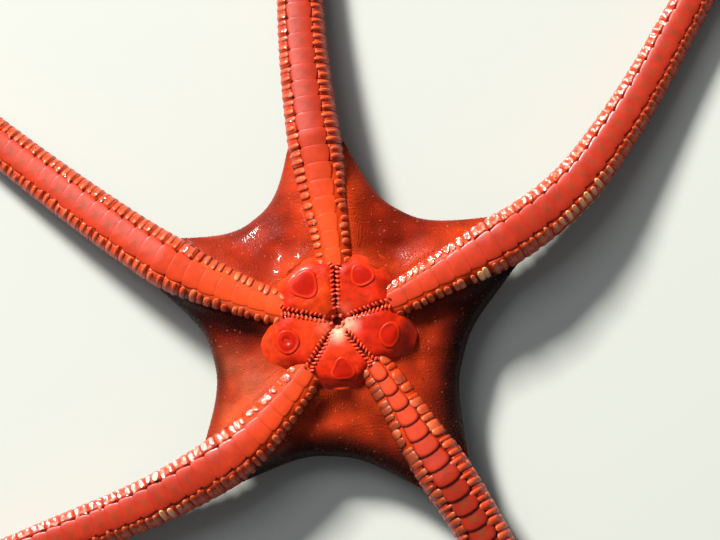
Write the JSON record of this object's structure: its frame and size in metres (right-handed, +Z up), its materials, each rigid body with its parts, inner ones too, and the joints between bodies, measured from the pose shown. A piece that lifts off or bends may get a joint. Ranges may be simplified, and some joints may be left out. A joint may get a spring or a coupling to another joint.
{
  "type": "brittle star",
  "caption": "Life-size still model of a red brittle star lying on its back, with its mouth side up and its long, tapering, plated arms spread on the floor.",
  "frame": {"origin": "on the floor, at the middle of the flat under the disc, straight under the mouth", "axes": "+Z up, out of the mouth; +Y along the start of arm 1; +X to its right"},
  "size_m": [0.2349, 0.2508, 0.0078],
  "materials": {
    "disc_skin": "moist, finely granular skin, dark red to maroon",
    "jaw_plates": "moist plates and granules, orange-red with cream tips",
    "arm_plates": "moist smooth plates, red with pale orange spines and scales"
  },
  "bodies": {
    "root": {"disc": "disc_skin", "jaw_1": "jaw_plates", "arm_1_base": "arm_plates", "arm_1_middle": "arm_plates", "arm_1_tip": "arm_plates", "jaw_2": "jaw_plates", "arm_2_base": "arm_plates", "arm_2_middle": "arm_plates", "arm_2_tip": "arm_plates", "jaw_3": "jaw_plates", "arm_3_base": "arm_plates", "arm_3_middle": "arm_plates", "arm_3_tip": "arm_plates", "jaw_4": "jaw_plates", "arm_4_base": "arm_plates", "arm_4_middle": "arm_plates", "arm_4_tip": "arm_plates", "jaw_5": "jaw_plates", "arm_5_base": "arm_plates", "arm_5_middle": "arm_plates", "arm_5_tip": "arm_plates"}
  },
  "joints": []
}
